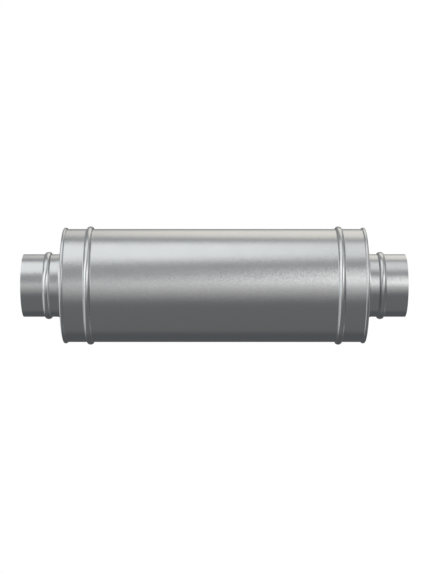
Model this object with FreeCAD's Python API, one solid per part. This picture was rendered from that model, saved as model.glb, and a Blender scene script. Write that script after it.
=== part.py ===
"""Round duct sound attenuator: a wool-packed steel casing round a perforated airway, with a male spigot at each end.

Millimetres. The airway's axis is X, +Z is up, and the origin is on the axis, half way along the body.
A sheet-metal piece is a line in the XZ plane, given a wall by two offsets of it and turned about X.
"""
import FreeCAD, Part
import math
import os

V = FreeCAD.Vector
ORIGIN = V(0, 0, 0)
AXIS = V(1, 0, 0)

# Duct and body
DUCT_BORE = 125.0          # inside diameter of the duct that slides over a spigot
DUCT_PLAY = 0.25           # radial play between that duct and the spigot
PACKING = 50.0             # from the duct's wall to the outside of the casing
BODY_LENGTH = 597.0        # over the outside of both end caps, sold as 600

# Casing
CASING_SHEET = 0.8
CASING_BEAD_INSET = 52.5   # from a cap's outside to the bead's crest
CASING_BEAD_HEIGHT = 5.2
CASING_BEAD_CROWN = 8.0    # outside radius over the crest
CASING_BEAD_SPREAD = 32.0  # degrees that the crest's curve reaches to each side
CASING_BEAD_SHOULDER = 3.6 # tighter outside radius beyond it
CASING_BEAD_FOOT = 1.5     # outside radius where the bead leaves the wall
FLANGE_BEND = 0.8          # inside radius of the casing's turned-out end
SEAM_WIDTH = 8.0           # flat lock seam, hammered down on the outside
SEAM_HEIGHT = 0.9
SEAM_ANGLE = 110.0         # from straight up towards the back, +Y
SEAM_STOP = 3.0            # the seam ends this far short of each rim

# End caps
CAP_SHEET = 0.8
RIM_HEIGHT = 2.65          # how far the rolled rim stands off the casing
RIM_CURL = 2.6             # outside radius of the roll
RIM_FLAT = 1.6             # straight stretch over the rim's crest
RIM_PLAY = 0.1             # between the roll and the casing that it holds
SEAL_PLAY = 0.3            # between the sealing compound and the roll
COLLAR_BEND = 7.5          # hollow radius where the cap turns out to a collar round the spigot
COLLAR_LIP = 3.5           # straight stretch of the collar beyond that bend
COLLAR_PLAY = 0.05         # radial play between the collar and the spigot

# Spigots
SPIGOT_SHEET = 0.7
SPIGOT_REACH = 80.5        # from the cap's outside to the open end
SPIGOT_TAIL = 36.0         # from the cap's outside to the inner end
STOP_BEAD_INSET = 30.9     # from the cap's outside to the crest of the bead that stops the duct
STOP_BEAD_HEIGHT = 4.65
STOP_BEAD_CROWN = 9.0
STOP_BEAD_SPREAD = 32.0
STOP_BEAD_SHOULDER = 3.2
STOP_BEAD_FOOT = 0.8

# Perforated liner
LINER_SHEET = 0.7
LINER_PLAY = 0.15          # radial play between the liner and the spigot's tail
LINER_END_PLAY = 0.3       # between the liner's end and the inside of the cap
PERFORATION = 9.0          # diameter of a hole
HOLES_ROUND = 8            # holes in one ring
HOLE_RINGS = 12
PLAIN_END = 38.0           # unpierced sheet at each end, over the spigot's tail

# Absorber
TISSUE = 0.6               # thickness of the glass tissue round the liner
TISSUE_PLAY = 0.1
WOOL_PLAY = 0.2            # round the wool, inside and out, and at its ends
WRAP_JOINT = 1.0           # gap where the two edges of a wrapped layer meet
WOOL_JOINT_ANGLE = 180.0   # from straight up towards the back
TISSUE_JOINT_ANGLE = 130.0

# Places that follow from those sizes, for the end at +X
BODY_END = BODY_LENGTH / 2
CASING_RADIUS = DUCT_BORE / 2 + PACKING
CASING_BORE = CASING_RADIUS - CASING_SHEET
SPIGOT_RADIUS = DUCT_BORE / 2 - DUCT_PLAY
CAP_INSIDE = BODY_END - CAP_SHEET
RIM_RADIUS = CASING_RADIUS + RIM_HEIGHT
CURL_RADIUS = RIM_RADIUS - RIM_CURL
CURL_START = BODY_END - RIM_CURL
CURL_END = CURL_START - RIM_FLAT
FLANGE_RADIUS = RIM_RADIUS - CAP_SHEET - RIM_PLAY
COLLAR_RADIUS = SPIGOT_RADIUS + COLLAR_PLAY + CAP_SHEET
LINER_BORE = SPIGOT_RADIUS + LINER_PLAY
LINER_RADIUS = LINER_BORE + LINER_SHEET
LINER_END = CAP_INSIDE - LINER_END_PLAY
TISSUE_BORE = LINER_RADIUS + TISSUE_PLAY
TISSUE_RADIUS = TISSUE_BORE + TISSUE


def at(x, radius):
    return V(x, 0, radius)


def arc(x, radius, bend, start, end):
    """Arc of radius bend about (x, radius), between two angles in degrees from +X towards +Z."""
    turns = [math.radians(start + share * (end - start)) for share in (0.0, 0.5, 1.0)]
    points = [at(x + bend * math.cos(turn), radius + bend * math.sin(turn)) for turn in turns]
    return Part.Arc(*points).toShape()


def first_point(edge):
    return edge.valueAt(edge.FirstParameter)


def last_point(edge):
    return edge.valueAt(edge.LastParameter)


def line(*stops):
    """Edges through points and arcs in turn, with straight lines between them."""
    edges = []
    here = None
    for stop in stops:
        is_arc = isinstance(stop, Part.Edge)
        there = first_point(stop) if is_arc else stop
        if here is not None and not here.isEqual(there, 1e-6):
            edges.append(Part.makeLine(here, there))
        if is_arc:
            edges.append(stop)
        here = last_point(stop) if is_arc else stop
    return edges


def face_of(edges):
    return Part.Face(Part.Wire(Part.__sortEdges__(edges)))


def between(one_side, other_side):
    """Face between two lines that run the same way, closed across their ends."""
    start = Part.makeLine(first_point(one_side[0]), first_point(other_side[0]))
    end = Part.makeLine(last_point(one_side[-1]), last_point(other_side[-1]))
    return face_of(one_side + other_side + [start, end])


def turned(face, degrees=360.0):
    return face.revolve(ORIGIN, AXIS, degrees)


def other_end(shape):
    """The same piece at the end at -X."""
    copy = shape.copy()
    copy.rotate(ORIGIN, V(0, 0, 1), 180)
    return copy


def bead(x, wall, height, crown, spread, shoulder, foot, offset):
    """Five arcs of a rolled bead with its crest at x, each tangent to the next: foot, shoulder, crown, shoulder, foot.

    The crown reaches spread degrees to each side. The foot's centre lies as far from the shoulder's as their radii
    together, and foot above the wall.
    """
    crown_radius = wall + height - crown
    shoulder_x = (crown - shoulder) * math.sin(math.radians(spread))
    shoulder_radius = crown_radius + (crown - shoulder) * math.cos(math.radians(spread))
    rise = wall + foot - shoulder_radius
    reach = math.sqrt((shoulder + foot) ** 2 - rise**2)
    lean = math.degrees(math.atan2(rise, reach))
    foot_x = shoulder_x + reach
    return [
        arc(x - foot_x, wall + foot, foot - offset, -90, -lean),
        arc(x - shoulder_x, shoulder_radius, shoulder + offset, 180 - lean, 90 + spread),
        arc(x, crown_radius, crown + offset, 90 + spread, 90 - spread),
        arc(x + shoulder_x, shoulder_radius, shoulder + offset, 90 - spread, lean),
        arc(x + foot_x, wall + foot, foot - offset, 180 + lean, 270),
    ]


def casing_bead(side, offset):
    return bead(
        side * (BODY_END - CASING_BEAD_INSET),
        CASING_RADIUS,
        CASING_BEAD_HEIGHT,
        CASING_BEAD_CROWN,
        CASING_BEAD_SPREAD,
        CASING_BEAD_SHOULDER,
        CASING_BEAD_FOOT,
        offset,
    )


def casing_line(offset):
    """The casing's wall from flange to flange, offset outwards from its outside."""
    bend = FLANGE_BEND - offset
    bend_x = CURL_START - CASING_SHEET - FLANGE_BEND
    bend_radius = CASING_RADIUS + FLANGE_BEND
    return line(
        at(-bend_x - bend, FLANGE_RADIUS),
        arc(-bend_x, bend_radius, bend, 180, 270),
        *casing_bead(-1, offset),
        *casing_bead(1, offset),
        arc(bend_x, bend_radius, bend, -90, 0),
        at(bend_x + bend, FLANGE_RADIUS),
    )


def seam_line(offset):
    end = CURL_END - RIM_CURL - SEAM_STOP
    return line(
        at(-end, CASING_RADIUS + offset),
        *casing_bead(-1, offset),
        *casing_bead(1, offset),
        at(end, CASING_RADIUS + offset),
    )


def lock_seam():
    """The fold that closes the rolled sheet, lying along the casing and over its beads."""
    spread = math.degrees(SEAM_WIDTH / CASING_RADIUS)
    seam = turned(between(seam_line(-CASING_SHEET / 2), seam_line(SEAM_HEIGHT)), spread)
    seam.rotate(ORIGIN, AXIS, -SEAM_ANGLE - spread / 2)
    return seam


def outer_casing():
    wall = turned(between(casing_line(-CASING_SHEET), casing_line(0)))
    return wall.fuse(lock_seam())


def cap_line(depth):
    """The end cap's sheet from its collar to the rolled edge, at a depth below its outside."""
    curl = RIM_CURL - depth
    edge_lift = CASING_RADIUS + RIM_PLAY - CURL_RADIUS
    edge_angle = 180 - math.degrees(math.asin(edge_lift / (RIM_CURL - CAP_SHEET)))
    bend_x = BODY_END + COLLAR_BEND
    return line(
        at(bend_x + COLLAR_LIP, COLLAR_RADIUS - depth),
        arc(bend_x, COLLAR_RADIUS + COLLAR_BEND, COLLAR_BEND + depth, -90, -180),
        arc(CURL_START, CURL_RADIUS, curl, 0, 90),
        arc(CURL_END, CURL_RADIUS, curl, 90, edge_angle),
    )


def end_cap():
    return turned(between(cap_line(0), cap_line(CAP_SHEET)))


def rim_seal():
    """Sealing compound wiped into the roll's corner, between the casing's flange and the cap."""
    fill = RIM_CURL - CAP_SHEET - SEAL_PLAY
    inner = at(CURL_START, CASING_BORE)
    outline = line(
        inner,
        at(CURL_START + fill, CASING_BORE),
        at(CURL_START + fill, CURL_RADIUS),
        at(CURL_START, CURL_RADIUS + fill),
        inner,
    )
    return turned(face_of(outline))


def spigot_line(offset):
    """The spigot's wall from its tail inside the body to its open end, offset outwards from its outside."""
    stop_bead = bead(
        BODY_END + STOP_BEAD_INSET,
        SPIGOT_RADIUS,
        STOP_BEAD_HEIGHT,
        STOP_BEAD_CROWN,
        STOP_BEAD_SPREAD,
        STOP_BEAD_SHOULDER,
        STOP_BEAD_FOOT,
        offset,
    )
    return line(
        at(BODY_END - SPIGOT_TAIL, SPIGOT_RADIUS + offset),
        *stop_bead,
        at(BODY_END + SPIGOT_REACH, SPIGOT_RADIUS + offset),
    )


def spigot():
    return turned(between(spigot_line(-SPIGOT_SHEET), spigot_line(0)))


def rectangle(end, bore, radius):
    return between(line(at(-end, bore), at(end, bore)), line(at(-end, radius), at(end, radius)))


def perforations():
    """Radial drills on rings along the liner, each ring turned half a pitch from the last."""
    pierced = 2 * (LINER_END - PLAIN_END)
    pitch = pierced / HOLE_RINGS
    step = 360.0 / HOLES_ROUND
    drills = []
    for ring in range(HOLE_RINGS):
        x = -pierced / 2 + pitch * (ring + 0.5)
        for hole in range(HOLES_ROUND):
            drill = Part.makeCylinder(PERFORATION / 2, LINER_RADIUS, at(x, LINER_BORE / 2), V(0, 0, 1))
            drill.rotate(ORIGIN, AXIS, step * (hole + 0.5 * (ring % 2)))
            drills.append(drill)
    return drills


def perforated_liner():
    return turned(rectangle(LINER_END, LINER_BORE, LINER_RADIUS)).cut(perforations())


def wrapped(end, bore, radius, joint_angle):
    """A layer wound once round the airway, its two edges a joint's gap apart."""
    gap = math.degrees(WRAP_JOINT / radius)
    layer = turned(rectangle(end, bore, radius), 360.0 - gap)
    layer.rotate(ORIGIN, AXIS, gap / 2 - joint_angle)
    return layer


def glass_tissue():
    return wrapped(LINER_END, TISSUE_BORE, TISSUE_RADIUS, TISSUE_JOINT_ANGLE)


def wool_mat():
    return wrapped(CAP_INSIDE - WOOL_PLAY, TISSUE_RADIUS + WOOL_PLAY, CASING_BORE - WOOL_PLAY, WOOL_JOINT_ANGLE)


def pieces():
    cap, seal, tube = end_cap(), rim_seal(), spigot()
    return {
        "outer_casing": outer_casing(),
        "end_cap_left": other_end(cap),
        "end_cap_right": cap,
        "rim_seal_left": other_end(seal),
        "rim_seal_right": seal,
        "spigot_left": other_end(tube),
        "spigot_right": tube,
        "perforated_liner": perforated_liner(),
        "glass_tissue": glass_tissue(),
        "wool_mat": wool_mat(),
    }


os.makedirs("parts", exist_ok=True)
for name, shape in pieces().items():
    shape.exportStep(f"parts/{name}.step")
    print(name, "valid" if shape.isValid() else "NOT VALID", len(shape.Solids), round(shape.Volume))
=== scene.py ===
"""Round duct silencer: a galvanised casing packed with mineral wool round a perforated airway.

A beaded spigot stands out of each end. The airway is the X axis, +Z is up, and the casing's lock seam lies
towards the back, +Y. Sections and sheet sizes are in millimetres, and each surface is put into its mesh in
metres.
"""
import math

import bpy
import numpy as np
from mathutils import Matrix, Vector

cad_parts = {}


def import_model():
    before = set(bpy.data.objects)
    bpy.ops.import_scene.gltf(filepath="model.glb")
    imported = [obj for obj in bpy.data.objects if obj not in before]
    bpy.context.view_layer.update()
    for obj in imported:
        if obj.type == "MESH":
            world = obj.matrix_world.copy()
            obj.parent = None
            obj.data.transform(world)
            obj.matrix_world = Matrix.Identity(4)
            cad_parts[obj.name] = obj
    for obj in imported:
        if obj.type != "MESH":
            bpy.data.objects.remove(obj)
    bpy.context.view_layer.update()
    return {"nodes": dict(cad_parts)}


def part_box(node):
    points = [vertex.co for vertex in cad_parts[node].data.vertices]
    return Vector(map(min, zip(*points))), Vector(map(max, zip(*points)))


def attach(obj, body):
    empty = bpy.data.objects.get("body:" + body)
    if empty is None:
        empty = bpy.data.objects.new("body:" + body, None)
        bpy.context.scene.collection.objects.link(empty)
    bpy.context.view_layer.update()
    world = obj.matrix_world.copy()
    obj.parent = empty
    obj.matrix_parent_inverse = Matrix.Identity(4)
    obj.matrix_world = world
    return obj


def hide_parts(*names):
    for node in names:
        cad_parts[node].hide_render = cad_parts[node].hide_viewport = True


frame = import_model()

MM = 0.001

# Sheet sizes that a box around a node doesn't give
CASING_SHEET = 0.8
CASING_BEAD = {"height": 5.2, "crown": 8.0, "spread": 32.0, "shoulder": 3.6, "foot": 1.5}
CASING_BEAD_INSET = 52.5
FLANGE_BEND = 0.8
FLANGE_PLAY = 0.1
SEAM_WIDTH = 8.0
SEAM_HEIGHT = 0.9
SEAM_ANGLE = 110.0
SEAM_STOP = 3.0
SEAM_RAMP = 0.05

CAP_SHEET = 0.8
RIM_CURL = 2.6
RIM_FLAT = 1.6
RIM_PLAY = 0.1
COLLAR_BEND = 7.5
COLLAR_PLAY = 0.05

SPIGOT_SHEET = 0.7
STOP_BEAD = {"height": 4.65, "crown": 9.0, "spread": 32.0, "shoulder": 3.2, "foot": 0.8}
STOP_BEAD_INSET = 30.9

LINER_SHEET = 0.7
PLAIN_END = 38.0
HOLE_DIAMETER = 5.0
HOLE_PITCH = 8.2
TISSUE_SHEET = 0.6
TISSUE_JOINT = 130.0
WOOL_PLAY = 0.2
WOOL_JOINT = 180.0
WRAP_JOINT = 1.0

# How finely curves are divided, and the sharpest bend that is shaded smooth, in degrees
TURNS = 256
ARC_STEP = 7.5
RUN_STEP = 12.0
RUN_LEAD = 0.6
SMOOTH_ANGLE = 35.0

# Points round a hole. The square cell about it has a corner or the middle of a side for each, so they stay
# eight. The plain ends have points at PLAIN_LEAD from their edges.
HOLE_POINTS = 8
PLAIN_LEAD = 1.0


def reach(node):
    """A node's lowest and highest X, and the radius of its outside, in millimetres."""
    low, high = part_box(node)
    return low.x / MM, high.x / MM, high.z / MM


_, curl_start, bead_radius = reach("outer_casing")
_, collar_end, rim_radius = reach("end_cap_right")
spigot_tail, spigot_end, stop_bead_radius = reach("spigot_right")
spigot_radius = stop_bead_radius - STOP_BEAD["height"]
_, liner_end, liner_radius = reach("perforated_liner")
_, tissue_end, tissue_radius = reach("glass_tissue")
_, wool_end, wool_radius = reach("wool_mat")

casing_radius = bead_radius - CASING_BEAD["height"]
body_end = curl_start + RIM_CURL
curl_radius = rim_radius - RIM_CURL
curl_end = curl_start - RIM_FLAT
seam_end = curl_end - RIM_CURL - SEAM_STOP


# Sections

def arc(x, radius, bend, start, end):
    """Points on an arc about (x, radius): bend times the cosine and sine of an angle from start to end."""
    count = 1 + max(2, math.ceil(abs(end - start) / ARC_STEP))
    angle = np.radians(np.linspace(start, end, count))
    return np.column_stack((x + bend * np.cos(angle), radius + bend * np.sin(angle)))


def bead(x, wall, offset, height, crown, spread, shoulder, foot):
    """A rolled bead with its crest at x, as five arcs that run into each other.

    They are foot, shoulder, crown, shoulder and foot. The crown reaches spread degrees to each side. The
    foot's centre lies as far from the shoulder's as their radii together, and one foot radius above the wall.
    """
    crown_radius = wall + height - crown
    shoulder_x = (crown - shoulder) * math.sin(math.radians(spread))
    shoulder_radius = crown_radius + (crown - shoulder) * math.cos(math.radians(spread))
    rise = wall + foot - shoulder_radius
    foot_reach = math.sqrt((shoulder + foot) ** 2 - rise ** 2)
    lean = math.degrees(math.atan2(rise, foot_reach))
    foot_x = shoulder_x + foot_reach
    return np.vstack((
        arc(x - foot_x, wall + foot, foot - offset, -90, -lean),
        arc(x - shoulder_x, shoulder_radius, shoulder + offset, 180 - lean, 90 + spread)[1:],
        arc(x, crown_radius, crown + offset, 90 + spread, 90 - spread)[1:-1],
        arc(x + shoulder_x, shoulder_radius, shoulder + offset, 90 - spread, lean)[:-1],
        arc(x + foot_x, wall + foot, foot - offset, 180 + lean, 270),
    ))


def with_runs(line):
    """The line with points added along its long straight runs, close to each end of a run and evenly between.

    The close ones keep the shading of a bend out of the flat sheet beside it.
    """
    parts = []
    for here, there in zip(line[:-1], line[1:]):
        length = math.dist(here, there)
        shares = [0.0]
        if length > 4 * RUN_LEAD:
            lead = RUN_LEAD / length
            shares += list(np.linspace(lead, 1 - lead, 1 + math.ceil(length / RUN_STEP)))
        parts.append(here + np.outer(shares, there - here))
    return np.vstack(parts + [line[-1:]])


def between(one_side, other_side):
    """The closed section of a sheet from its two faces, which run the same way."""
    return np.vstack((with_runs(one_side), with_runs(other_side)[::-1]))


def outward(section):
    """The unit normal at each point of an anticlockwise section: its tangent turned a quarter right."""
    tangent = np.roll(section, -1, axis=0) - np.roll(section, 1, axis=0)
    normal = np.column_stack((tangent[:, 1], -tangent[:, 0]))
    return normal / np.linalg.norm(normal, axis=1, keepdims=True)


# Meshes

def piece(name, vertices, faces, materials, nodes, face_material=None):
    """A mesh object at the origin, smooth but for sharp bends, that rides on the body and replaces nodes."""
    mesh = bpy.data.meshes.new(name)
    mesh.from_pydata((vertices * MM).tolist(), [], faces.tolist())
    for material in materials:
        mesh.materials.append(material)
    if face_material is not None:
        mesh.polygons.foreach_set("material_index", face_material.astype(np.int32))
    mesh.polygons.foreach_set("use_smooth", np.ones(len(faces), dtype=bool))
    mesh.set_sharp_from_angle(angle=math.radians(SMOOTH_ANGLE))
    mesh.validate()
    obj = bpy.data.objects.new(name, mesh)
    bpy.context.scene.collection.objects.link(obj)
    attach(obj, "root")
    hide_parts(*nodes)
    return obj


def even_azimuths(count=TURNS):
    """Angles evenly spaced round one turn, from 0."""
    return np.linspace(0, 2 * np.pi, count, endpoint=False)


def turned_points(x, radius, azimuth):
    """Points at azimuth a from +Z towards +Y: (x, radius sin a, radius cos a), for arrays that broadcast."""
    points = np.broadcast_arrays(x, radius * np.sin(azimuth), radius * np.cos(azimuth))
    return np.stack(points, axis=-1).reshape(-1, 3)


def loop_faces(rows, columns, close_columns=True):
    """Quads over a grid whose rows close on themselves. An anticlockwise section then faces outwards."""
    row = np.arange(rows)[:, None]
    column = np.arange(columns if close_columns else columns - 1)[None, :]
    next_row = (row + 1) % rows
    next_column = (column + 1) % columns
    corners = (row * columns + column, row * columns + next_column,
               next_row * columns + next_column, next_row * columns + column)
    return np.stack(corners, axis=-1).reshape(-1, 4)


def turned(section, azimuth=None, lift=None):
    """A section turned once about X.

    lift, for each section point and azimuth, moves a point along the section's normal.
    """
    azimuth = even_azimuths() if azimuth is None else azimuth
    lift = np.zeros((len(section), len(azimuth))) if lift is None else lift
    normal = outward(section)
    x = section[:, :1] + normal[:, :1] * lift
    radius = section[:, 1:] + normal[:, 1:] * lift
    return turned_points(x, radius, azimuth), loop_faces(len(section), len(azimuth))


def other_end(vertices):
    """The same points half a turn round +Z, for the piece at the left."""
    return vertices * (-1, -1, 1)


# Finishes. A pattern's Scale is 1000 over its real size in millimetres.

CLOUD_MM = 45
CLOUD_SPAN = {"From Min": 0.3, "From Max": 0.7}
CLOUD_TONE = 0.985
CLOUD_DULLNESS = 0.015
CRYSTAL_TONE = 0.99


def rgb(hex_colour):
    """sRGB hex to linear colour with alpha."""
    parts = [int(hex_colour[i:i + 2], 16) / 255 for i in (1, 3, 5)]
    return [c / 12.92 if c <= 0.04045 else ((c + 0.055) / 1.055) ** 2.4 for c in parts] + [1.0]


def node(tree, kind, inputs=None, **settings):
    """Adds a node with its settings. inputs gives each socket a value, or another node's output to link."""
    made = tree.nodes.new(kind)
    for name, value in settings.items():
        setattr(made, name, value)
    for socket, value in (inputs or {}).items():
        if isinstance(value, bpy.types.NodeSocket):
            tree.links.new(value, made.inputs[socket])
        else:
            made.inputs[socket].default_value = value
    return made


def finish_named(name, roughness, metallic=0.0):
    """A new material's node tree and its shader."""
    material = bpy.data.materials.new(name)
    material.use_nodes = True
    shader = material.node_tree.nodes["Principled BSDF"]
    shader.inputs["Roughness"].default_value = roughness
    shader.inputs["Metallic"].default_value = metallic
    return material, material.node_tree, shader


def galvanised(name, zinc, grain_mm, tilt, roughness):
    """Hot-dip galvanised sheet: zinc frozen in small crystals, each tilted a little.

    The eye sees a pale satin grey whose reflections break up into a fine grain, and clouds of duller zinc.
    """
    material, tree, shader = finish_named(name, roughness, metallic=1.0)
    place = node(tree, "ShaderNodeTexCoord").outputs["Object"]
    crystals = node(tree, "ShaderNodeTexVoronoi", {"Vector": place, "Scale": 1000 / grain_mm})
    clouds = node(tree, "ShaderNodeTexNoise", {"Vector": place, "Scale": 1000 / CLOUD_MM, "Detail": 3.0,
                                               "Roughness": 0.55})

    lean = node(tree, "ShaderNodeVectorMath", {0: crystals.outputs["Color"], 1: (0.5, 0.5, 0.5)},
                operation="SUBTRACT")
    lean = node(tree, "ShaderNodeVectorMath", {0: lean.outputs[0], "Scale": tilt}, operation="SCALE")
    normal = node(tree, "ShaderNodeNewGeometry").outputs["Normal"]
    normal = node(tree, "ShaderNodeVectorMath", {0: normal, 1: lean.outputs[0]}, operation="ADD")
    normal = node(tree, "ShaderNodeVectorMath", {0: normal.outputs[0]}, operation="NORMALIZE")
    tree.links.new(normal.outputs[0], shader.inputs["Normal"])

    crystal = node(tree, "ShaderNodeSeparateColor", {"Color": crystals.outputs["Color"]})
    tone = node(tree, "ShaderNodeMapRange", {"Value": crystal.outputs["Red"], "To Min": CRYSTAL_TONE,
                                             "To Max": 1.0})
    cloud = node(tree, "ShaderNodeMapRange", {"Value": clouds.outputs["Fac"], **CLOUD_SPAN,
                                              "To Min": CLOUD_TONE, "To Max": 1.0})
    shade = node(tree, "ShaderNodeMath", {0: tone.outputs[0], 1: cloud.outputs[0]}, operation="MULTIPLY")
    colour = node(tree, "ShaderNodeVectorMath", {0: rgb(zinc)[:3], "Scale": shade.outputs[0]},
                  operation="SCALE")
    tree.links.new(colour.outputs[0], shader.inputs["Base Color"])

    dull = node(tree, "ShaderNodeMapRange", {"Value": clouds.outputs["Fac"], **CLOUD_SPAN,
                                             "To Min": roughness + CLOUD_DULLNESS,
                                             "To Max": roughness - CLOUD_DULLNESS})
    tree.links.new(dull.outputs[0], shader.inputs["Roughness"])
    return material


def sheared_edge(name):
    """The edge where the sheet was sheared: bare steel smeared with zinc, darker and duller than a face."""
    material, tree, shader = finish_named(name, 0.45, metallic=1.0)
    place = node(tree, "ShaderNodeTexCoord").outputs["Object"]
    burr = node(tree, "ShaderNodeTexNoise", {"Vector": place, "Scale": 1000 / 0.8, "Detail": 2.0})
    tone = node(tree, "ShaderNodeMix", {"Factor": burr.outputs["Fac"], "A": rgb("#8d8f92"),
                                        "B": rgb("#b9bbbd")}, data_type="RGBA")
    tree.links.new(tone.outputs["Result"], shader.inputs["Base Color"])
    return material


def sealing_compound():
    """Cured sealing compound: rubbery grey, nearly matt, with the dimples of a bead that was squeezed in."""
    material, tree, shader = finish_named("cured_sealing_compound", 0.62)
    place = node(tree, "ShaderNodeTexCoord").outputs["Object"]
    dimples = node(tree, "ShaderNodeTexNoise", {"Vector": place, "Scale": 1000 / 3, "Detail": 3.0})
    tone = node(tree, "ShaderNodeMix", {"Factor": dimples.outputs["Fac"], "A": rgb("#7c7d7d"),
                                        "B": rgb("#8e8f8e")}, data_type="RGBA")
    bump = node(tree, "ShaderNodeBump", {"Height": dimples.outputs["Fac"], "Strength": 0.4,
                                         "Distance": 0.3 * MM})
    tree.links.new(tone.outputs["Result"], shader.inputs["Base Color"])
    tree.links.new(bump.outputs["Normal"], shader.inputs["Normal"])
    return material


def glass_tissue():
    """Black glass-fibre tissue: a thin felt of crossed fibres in a matt binder, paler where fibres rise."""
    material, tree, shader = finish_named("black_glass_tissue", 0.8)
    place = node(tree, "ShaderNodeTexCoord").outputs["Object"]
    along = node(tree, "ShaderNodeMapping", {"Vector": place, "Scale": (0.12, 1.0, 1.0)})
    across = node(tree, "ShaderNodeMapping", {"Vector": place, "Scale": (1.0, 0.2, 0.2)})
    fibres = [node(tree, "ShaderNodeTexNoise", {"Vector": way.outputs[0], "Scale": 1000 / 0.7, "Detail": 2.0})
              for way in (along, across)]
    felt = node(tree, "ShaderNodeMath", {0: fibres[0].outputs["Fac"], 1: fibres[1].outputs["Fac"]},
                operation="MAXIMUM")
    tone = node(tree, "ShaderNodeMapRange", {"Value": felt.outputs[0], "From Min": 0.45, "From Max": 0.75,
                                             "To Min": 0.0, "To Max": 1.0})
    colour = node(tree, "ShaderNodeMix", {"Factor": tone.outputs[0], "A": rgb("#1c1c1d"),
                                          "B": rgb("#4a4a4b")}, data_type="RGBA")
    bump = node(tree, "ShaderNodeBump", {"Height": felt.outputs[0], "Strength": 0.5, "Distance": 0.15 * MM})
    tree.links.new(colour.outputs["Result"], shader.inputs["Base Color"])
    tree.links.new(bump.outputs["Normal"], shader.inputs["Normal"])
    return material


def mineral_wool():
    """Mineral wool: resin-bound fibres laid in flakes, ochre with a grey-green cast, without gloss."""
    material, tree, shader = finish_named("mineral_wool", 0.95)
    place = node(tree, "ShaderNodeTexCoord").outputs["Object"]
    combed = node(tree, "ShaderNodeMapping", {"Vector": place, "Scale": (0.25, 1.0, 1.0)})
    flakes = node(tree, "ShaderNodeTexNoise", {"Vector": place, "Scale": 1000 / 18, "Detail": 5.0,
                                               "Roughness": 0.6})
    fibres = node(tree, "ShaderNodeTexNoise", {"Vector": combed.outputs[0], "Scale": 1000 / 2, "Detail": 4.0,
                                               "Distortion": 1.2})
    mixed = node(tree, "ShaderNodeMath", {0: flakes.outputs["Fac"], 1: fibres.outputs["Fac"]},
                 operation="MULTIPLY")
    tone = node(tree, "ShaderNodeMapRange", {"Value": mixed.outputs[0], "From Min": 0.12, "From Max": 0.4})
    colour = node(tree, "ShaderNodeMix", {"Factor": tone.outputs[0], "A": rgb("#a08c52"),
                                          "B": rgb("#d2c48c")}, data_type="RGBA")
    bump = node(tree, "ShaderNodeBump", {"Height": mixed.outputs[0], "Strength": 0.8, "Distance": 1.5 * MM})
    shader.inputs["Sheen Weight"].default_value = 0.2
    tree.links.new(colour.outputs["Result"], shader.inputs["Base Color"])
    tree.links.new(bump.outputs["Normal"], shader.inputs["Normal"])
    return material


casing_steel = galvanised("hot_dip_galvanised_casing_sheet", "#d6d8d9",
                          grain_mm=1.8, tilt=0.034, roughness=0.23)
cap_steel = galvanised("hot_dip_galvanised_pressing", "#d5d7d8",
                       grain_mm=1.9, tilt=0.034, roughness=0.24)
spigot_steel = galvanised("hot_dip_galvanised_rolled_tube", "#d6d8d9",
                          grain_mm=1.7, tilt=0.034, roughness=0.22)
liner_steel = galvanised("galvanised_perforated_sheet", "#c6c8c9",
                         grain_mm=2.0, tilt=0.04, roughness=0.34)
cut_edge = sheared_edge("sheared_steel_edge")


# Pieces

def cut_faces(section, one_side_count, turns):
    """Material index 1 on the two bands of quads that close a sheet's section, where the sheet was cut."""
    index = np.zeros((len(section), turns))
    index[[one_side_count - 1, -1]] = 1
    return index.ravel()


def casing_line(offset):
    """The casing's wall from flange to flange, offset outwards from its outside."""
    bend = FLANGE_BEND - offset
    bend_x = curl_start - CASING_SHEET - FLANGE_BEND
    bend_radius = casing_radius + FLANGE_BEND
    flange_radius = rim_radius - CAP_SHEET - FLANGE_PLAY
    crest = body_end - CASING_BEAD_INSET
    return np.vstack((
        [(-bend_x - bend, flange_radius)],
        arc(-bend_x, bend_radius, bend, 180, 270),
        bead(-crest, casing_radius, offset, **CASING_BEAD),
        bead(crest, casing_radius, offset, **CASING_BEAD),
        arc(bend_x, bend_radius, bend, -90, 0),
        [(bend_x + bend, flange_radius)],
    ))


def seam_azimuths():
    """Even turns, with close ones added over the rounded edges of the lock seam."""
    half = SEAM_WIDTH / 2 / casing_radius
    corner = SEAM_HEIGHT / casing_radius
    close = np.linspace(0, 1, 7) ** 2
    edge = half - corner * close
    across = np.concatenate((-half - corner * close[1:3], -edge, edge, half + corner * close[1:3]))
    even = even_azimuths()
    middle = math.radians(SEAM_ANGLE)
    even = even[np.abs(even - middle) > half + 2 * corner]
    return np.sort(np.concatenate((even, middle + across)))


def seam_lift(section, azimuth):
    """How far the lock seam stands off the sheet: its height, rounded to a quarter circle along both edges.

    It is nothing on the inner face, beyond the seam's two ends, and away from the seam's angle.
    """
    across = np.abs(azimuth - math.radians(SEAM_ANGLE)) * casing_radius
    into_corner = np.clip((across - (SEAM_WIDTH / 2 - SEAM_HEIGHT)) / SEAM_HEIGHT, 0, 1)
    profile = SEAM_HEIGHT * np.sqrt(1 - into_corner ** 2)
    outside = np.arange(len(section)) >= len(section) / 2
    along = outside & (np.abs(section[:, 0]) <= seam_end)
    return np.outer(along, profile)


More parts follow.
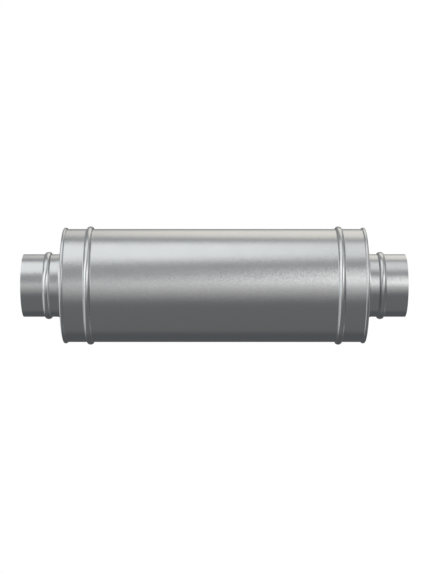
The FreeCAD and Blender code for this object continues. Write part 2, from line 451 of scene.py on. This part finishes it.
def outer_casing():
    """The casing's sheet, turned, with the lock seam standing off its outside.

    The outer line gets two points close together where the seam stops, between the flange's bend and the
    bead.
    """
    inner, outer = casing_line(-CASING_SHEET), casing_line(0)
    stops = np.array([(x, casing_radius) for x in (-seam_end - SEAM_RAMP, -seam_end)])
    split = 1 + len(arc(0, 0, 1, 180, 270))
    outer = np.vstack((outer[:split], stops, outer[split:-split], stops[::-1] * (-1, 1), outer[-split:]))
    section = between(inner, outer)
    azimuth = seam_azimuths()
    vertices, faces = turned(section, azimuth, seam_lift(section, azimuth))
    cut = cut_faces(section, len(with_runs(inner)), len(azimuth))
    piece("casing_sheet", vertices, faces, [casing_steel, cut_edge], ["outer_casing"], cut)


def cap_line(depth):
    """The end cap's sheet from its collar to its rolled edge, at a depth below its outside."""
    edge_lift = casing_radius + RIM_PLAY - curl_radius
    edge_angle = 180 - math.degrees(math.asin(edge_lift / (RIM_CURL - CAP_SHEET)))
    collar_radius = spigot_radius + COLLAR_PLAY + CAP_SHEET
    return np.vstack((
        [(collar_end, collar_radius - depth)],
        arc(body_end + COLLAR_BEND, collar_radius + COLLAR_BEND, COLLAR_BEND + depth, -90, -180),
        arc(curl_start, curl_radius, RIM_CURL - depth, 0, 90),
        arc(curl_end, curl_radius, RIM_CURL - depth, 90, edge_angle),
    ))


def spigot_line(offset):
    """The spigot's wall from its tail inside the body to its open end, offset outwards from its outside."""
    return np.vstack((
        [(spigot_tail, spigot_radius + offset)],
        bead(body_end + STOP_BEAD_INSET, spigot_radius, offset, **STOP_BEAD),
        [(spigot_end, spigot_radius + offset)],
    ))


def end_pieces():
    """The end cap and the spigot, at the right and half a turn round at the left."""
    outside, inside = cap_line(0), cap_line(CAP_SHEET)
    cap = between(outside, inside)
    bore, wall = spigot_line(-SPIGOT_SHEET), spigot_line(0)
    tube = between(bore, wall)
    for side, place in (("right", lambda points: points), ("left", other_end)):
        vertices, faces = turned(cap)
        cut = cut_faces(cap, len(with_runs(outside)), TURNS)
        piece(f"end_cap_pressing_{side}", place(vertices), faces, [cap_steel, cut_edge],
              [f"end_cap_{side}"], cut)
        vertices, faces = turned(tube)
        cut = cut_faces(tube, len(with_runs(bore)), TURNS)
        piece(f"spigot_tube_{side}", place(vertices), faces, [spigot_steel, cut_edge],
              [f"spigot_{side}"], cut)


def merged(vertices, faces):
    """The same mesh with vertices that lie in one place made one."""
    _, first, which = np.unique(np.round(vertices, 4), axis=0, return_index=True, return_inverse=True)
    return vertices[first], which.reshape(-1)[faces]


def perforated_liner():
    """A flat sheet of staggered cells, each a square ring round an eight-sided hole, rolled up into a tube.

    A cell's ring joins the hole's points at every eighth of a turn to the cell's corners and the middles of
    its sides, which its neighbours share. Both faces of the sheet have the rings, and quads through the hole
    join them.
    """
    bore = liner_radius - LINER_SHEET
    round_count = round(2 * np.pi * liner_radius / HOLE_PITCH)
    pierced_end = liner_end - PLAIN_END
    row_count = round(2 * pierced_end / (HOLE_PITCH * math.sqrt(0.75)))
    half_round = math.pi / round_count
    half_row = pierced_end / row_count

    eighths = np.arange(HOLE_POINTS) * 2 * math.pi / HOLE_POINTS
    rim_x = np.sign(np.round(np.cos(eighths), 6)) * half_row
    rim_turn = np.sign(np.round(np.sin(eighths), 6)) * half_round
    hole_x = HOLE_DIAMETER / 2 * np.cos(eighths)
    hole_turn = HOLE_DIAMETER / 2 * np.sin(eighths) / liner_radius

    row, column = np.meshgrid(np.arange(row_count), np.arange(round_count), indexing="ij")
    centre_x = (-pierced_end + half_row * (2 * row + 1)).reshape(-1, 1)
    centre_turn = (half_round * (2 * column + row % 2)).reshape(-1, 1)
    x = np.concatenate((centre_x + rim_x, centre_x + hole_x) * 2, axis=1)
    turn = np.concatenate((centre_turn + rim_turn, centre_turn + hole_turn) * 2, axis=1)
    face_points = 2 * HOLE_POINTS
    vertices = turned_points(x, np.repeat([liner_radius, bore], face_points), turn % (2 * np.pi))

    rim = np.arange(HOLE_POINTS)
    next_rim = (rim + 1) % HOLE_POINTS
    hole, next_hole = rim + HOLE_POINTS, next_rim + HOLE_POINTS
    ring_out = np.column_stack((rim, next_rim, next_hole, hole))
    ring_in = ring_out[:, ::-1] + face_points
    wall = np.column_stack((hole, next_hole, next_hole + face_points, hole + face_points))
    cell = np.vstack((ring_out, ring_in, wall))
    faces = (cell + 2 * face_points * np.arange(centre_x.size)[:, None, None]).reshape(-1, 4)

    sheets = [(vertices, faces)]
    turns = np.arange(2 * round_count) * half_round
    for side in (-1, 1):
        plain = side * np.array([pierced_end, pierced_end + PLAIN_LEAD, (pierced_end + liner_end) / 2,
                                 liner_end - PLAIN_LEAD, liner_end])
        section_x = np.concatenate((plain, plain[::-1]))
        section_radius = np.repeat([liner_radius, bore], len(plain))
        points = turned_points(section_x[:, None], section_radius[:, None], turns)
        quads = loop_faces(len(section_x), len(turns)).reshape(len(section_x), -1, 4)[:-1].reshape(-1, 4)
        sheets.append((points, quads if side < 0 else quads[:, ::-1]))
    counts = np.cumsum([0] + [len(points) for points, _ in sheets])
    vertices = np.vstack([points for points, _ in sheets])
    faces = np.vstack([quads + count for (_, quads), count in zip(sheets, counts)])
    vertices, faces = merged(vertices, faces)
    piece("pierced_liner", vertices, faces, [liner_steel], ["perforated_liner"])


def wrapped(name, node_name, end, bore, radius, joint_angle, material):
    """A layer wound once round the airway: its section swept from one side of its joint to the other."""
    gap = WRAP_JOINT / radius
    azimuth = math.radians(joint_angle) + np.linspace(gap / 2, 2 * math.pi - gap / 2, TURNS)
    section = between(np.array([(-end, bore), (end, bore)]), np.array([(-end, radius), (end, radius)]))
    vertices = turned_points(section[:, :1], section[:, 1:], azimuth)
    faces = loop_faces(len(section), TURNS, close_columns=False)
    half = len(section) // 2
    rungs = np.arange(half - 1)
    lower, upper = rungs, len(section) - 1 - rungs
    end_quads = np.column_stack((lower, lower + 1, upper - 1, upper)) * TURNS
    faces = np.vstack((faces, end_quads, end_quads[:, ::-1] + TURNS - 1))
    piece(name, vertices, faces, [material], [node_name])


outer_casing()
end_pieces()
perforated_liner()
wrapped("tissue_wrap", "glass_tissue", tissue_end, tissue_radius - TISSUE_SHEET, tissue_radius, TISSUE_JOINT,
        glass_tissue())
wrapped("wool_roll", "wool_mat", wool_end, tissue_radius + WOOL_PLAY, wool_radius, WOOL_JOINT,
        mineral_wool())
compound = sealing_compound()
for side in ("left", "right"):
    seal = frame["nodes"][f"rim_seal_{side}"]
    seal.data.materials.clear()
    seal.data.materials.append(compound)


# Studio

PICTURE_WIDTH, PICTURE_HEIGHT = 433, 573
SENSOR = 36.0
FOCAL_PIXELS = 1506.0
CAMERA_DISTANCE = 3.0
CENTRE_X, CENTRE_Y = 214.4, 285.52


def camera():
    """Level with the airway, in front of the middle of the body, with the picture's small shift."""
    data = bpy.data.cameras.new("camera")
    data.sensor_width = SENSOR
    data.lens = FOCAL_PIXELS / PICTURE_HEIGHT * SENSOR
    data.shift_x = (PICTURE_WIDTH / 2 - CENTRE_X) / PICTURE_HEIGHT
    data.shift_y = (CENTRE_Y - PICTURE_HEIGHT / 2) / PICTURE_HEIGHT
    obj = bpy.data.objects.new("camera", data)
    obj.location = (0, -CAMERA_DISTANCE, 0)
    obj.rotation_euler = (math.pi / 2, 0, 0)
    bpy.context.scene.collection.objects.link(obj)
    bpy.context.scene.camera = obj


# Light around the object: a dim room and soft boxes, each the light that it adds. around is the angle about X
# in degrees, from level towards the camera at 0, over the top at 90, to level behind at 180. aside is the
# angle towards +X. An edge is its angle, half its fade, and for around how far it rises for each degree aside.
ROOM = (0.105, 0.110, 0.116)
BACKDROP_WHITE = "#fffaf2"
SOFT_BOXES = {
    "ceiling": {"around": ((-6, 12, 0), (168, 16, 0)), "aside": ((-90, 1), (90, 1)), "level": 0.225,
                "tint": "#ffffff"},
    "overhead": {"around": ((52, 10, 1.0), (97.3, 9, 0)), "aside": ((-42, 8), (9.5, 9)), "level": 0.79,
                 "tint": "#fafafa"},
    "backdrop": {"around": ((116, 11, -0.4), (149, 8, 0)), "aside": ((-5.5, 8), (22, 5)), "level": 0.55,
                 "tint": BACKDROP_WHITE},
    "front_wall": {"around": ((-21, 17, 0.3), (14.5, 12, 0.8)), "aside": ((-14, 14), (46, 8)), "level": 0.405,
                   "tint": "#fffaf7"},
    "front_right": {"around": ((1, 8, 0.3), (31, 7, 0.3)), "aside": ((4.8, 4.2), (38, 8)), "level": 0.82,
                    "tint": "#fffdfb"},
    "upper_right": {"around": ((30, 10, 0), (88, 12, 0)), "aside": ((17, 8), (52, 8)), "level": 0.30,
                    "tint": "#ffffff"},
    "left_window": {"around": ((-22, 14, 0), (56, 8, 0)), "aside": ((-74, 6), (-27, 9)), "level": 0.90,
                    "tint": "#ffffff"},
    "left_low": {"around": ((-190, 1, 0), (-28, 14, 0)), "aside": ((-76, 6), (-34.5, 8)), "level": 0.55,
                 "tint": "#ffffff"},
    "left_side": {"around": ((-190, 1, 0), (30, 15, 0)), "aside": ((-90, 1), (-72, 6)), "level": 0.50,
                  "tint": "#ffffff"},
    "left_behind": {"around": ((136, 14, 0), (190, 1, 0)), "aside": ((-90, 1), (-38, 8)), "level": 0.26,
                    "tint": "#ffffff"},
    "right_behind": {"around": ((136, 14, 0), (190, 1, 0)), "aside": ((38, 8), (90, 1)), "level": 0.26,
                     "tint": "#ffffff"},
    "right_low": {"around": ((-190, 1, 0), (-122, 14, 0)), "aside": ((36, 8), (90, 1)), "level": 0.38,
                  "tint": "#ffffff"},
    "right_side": {"around": ((-122, 14, 0), (-6, 12, 0)), "aside": ((80, 4), (90, 1)), "level": 0.16,
                   "tint": "#ffffff"},
    "floor_bounce": {"around": ((-110, 8, 0), (-14, 10, 0)), "aside": ((-35, 10), (85, 5)), "level": 0.06,
                     "tint": "#fffdfa"},
}


def world():
    """A studio as a sky: a dim room with soft boxes, and white wherever the camera sees past the object.

    The backdrop is white in reflections too, in the directions that it stands in.
    """
    made = bpy.data.worlds.new("studio")
    bpy.context.scene.world = made
    made.use_nodes = True
    tree = made.node_tree
    tree.nodes.clear()
    ray = node(tree, "ShaderNodeTexCoord").outputs["Generated"]
    part = node(tree, "ShaderNodeSeparateXYZ", {0: ray}).outputs
    towards = node(tree, "ShaderNodeMath", {0: part["Y"], 1: -1.0}, operation="MULTIPLY")
    around = node(tree, "ShaderNodeMath", {0: part["Z"], 1: towards.outputs[0]}, operation="ARCTAN2")
    aside = node(tree, "ShaderNodeMath", {0: part["X"]}, operation="ARCSINE")

    light = ROOM
    masks = {}
    for name, box in SOFT_BOXES.items():
        mask = 1.0
        for (edge, fade, *rise), inward in zip(box["around"] + box["aside"], (1, -1, 1, -1)):
            angle = aside.outputs[0]
            if rise:
                angle = node(tree, "ShaderNodeMath", {0: angle, 1: -rise[0], 2: around.outputs[0]},
                             operation="MULTIPLY_ADD").outputs[0]
            step = node(tree, "ShaderNodeMapRange", {
                "Value": angle,
                "From Min": math.radians(edge - inward * fade),
                "From Max": math.radians(edge + inward * fade),
            }, interpolation_type="SMOOTHSTEP")
            mask = node(tree, "ShaderNodeMath", {0: mask, 1: step.outputs[0]}, operation="MULTIPLY")
            mask = mask.outputs[0]
        masks[name] = mask
        glow = [box["level"] * channel for channel in rgb(box["tint"])[:3]]
        added = node(tree, "ShaderNodeVectorMath", {0: glow, "Scale": mask}, operation="SCALE")
        light = node(tree, "ShaderNodeVectorMath", {0: light, 1: added.outputs[0]}, operation="ADD")
        light = light.outputs[0]

    path = node(tree, "ShaderNodeLightPath").outputs
    mirrored = node(tree, "ShaderNodeMath", {0: path["Is Glossy Ray"], 1: path["Is Transmission Ray"]},
                    operation="MAXIMUM")
    mirrored = node(tree, "ShaderNodeMath", {0: mirrored.outputs[0], 1: masks["backdrop"]},
                    operation="MULTIPLY")
    seen = node(tree, "ShaderNodeMix", {"Factor": mirrored.outputs[0], "A": light, "B": rgb(BACKDROP_WHITE)},
                data_type="RGBA")
    seen = node(tree, "ShaderNodeMix", {"Factor": path["Is Camera Ray"], "A": seen.outputs["Result"],
                                        "B": rgb("#ffffff")}, data_type="RGBA")
    sky = node(tree, "ShaderNodeBackground", {"Color": seen.outputs["Result"], "Strength": 1.0})
    node(tree, "ShaderNodeOutputWorld", {"Surface": sky.outputs[0]})


# The floor, in metres. It is thinned to FLOOR_SHOWN of itself within FLOOR_CORE, and to nothing at its edge.
FLOOR_DROP = 1.2
FLOOR_RADIUS = 3.0
FLOOR_CORE = 0.6
FLOOR_SHOWN = 0.45
FLOOR_SIDES = 96


def floor():
    """A pale disc well below the object, which takes its shadow and fades out into the white around.

    From below it is clear.
    """
    azimuth = even_azimuths(FLOOR_SIDES)
    rim = np.column_stack((FLOOR_RADIUS * np.cos(azimuth), FLOOR_RADIUS * np.sin(azimuth),
                           np.full(FLOOR_SIDES, -FLOOR_DROP)))
    mesh = bpy.data.meshes.new("floor")
    mesh.from_pydata(rim.tolist(), [], [list(range(FLOOR_SIDES))])
    obj = bpy.data.objects.new("floor", mesh)
    bpy.context.scene.collection.objects.link(obj)
    material, tree, shader = finish_named("pale_studio_floor", 0.9)
    place = node(tree, "ShaderNodeTexCoord").outputs["Object"]
    flat = node(tree, "ShaderNodeVectorMath", {0: place, 1: (1, 1, 0)}, operation="MULTIPLY")
    away = node(tree, "ShaderNodeVectorMath", {0: flat.outputs[0]}, operation="LENGTH")
    shown = node(tree, "ShaderNodeMapRange", {
        "Value": away.outputs["Value"],
        "From Min": FLOOR_RADIUS,
        "From Max": FLOOR_CORE,
        "To Max": FLOOR_SHOWN,
    }, interpolation_type="SMOOTHSTEP")
    shader.inputs["Base Color"].default_value = rgb("#f2f2f2")
    below = node(tree, "ShaderNodeNewGeometry").outputs["Backfacing"]
    above = node(tree, "ShaderNodeMath", {0: 1.0, 1: below}, operation="SUBTRACT")
    shown = node(tree, "ShaderNodeMath", {0: shown.outputs[0], 1: above.outputs[0]}, operation="MULTIPLY")
    clear = node(tree, "ShaderNodeBsdfTransparent")
    faded = node(tree, "ShaderNodeMixShader", {0: shown.outputs[0], 1: clear.outputs[0],
                                               2: shader.outputs[0]})
    tree.links.new(faded.outputs[0], tree.nodes["Material Output"].inputs["Surface"])
    mesh.materials.append(material)
    obj.visible_glossy = False


camera()
world()
floor()
bpy.context.scene.view_settings.view_transform = "Standard"
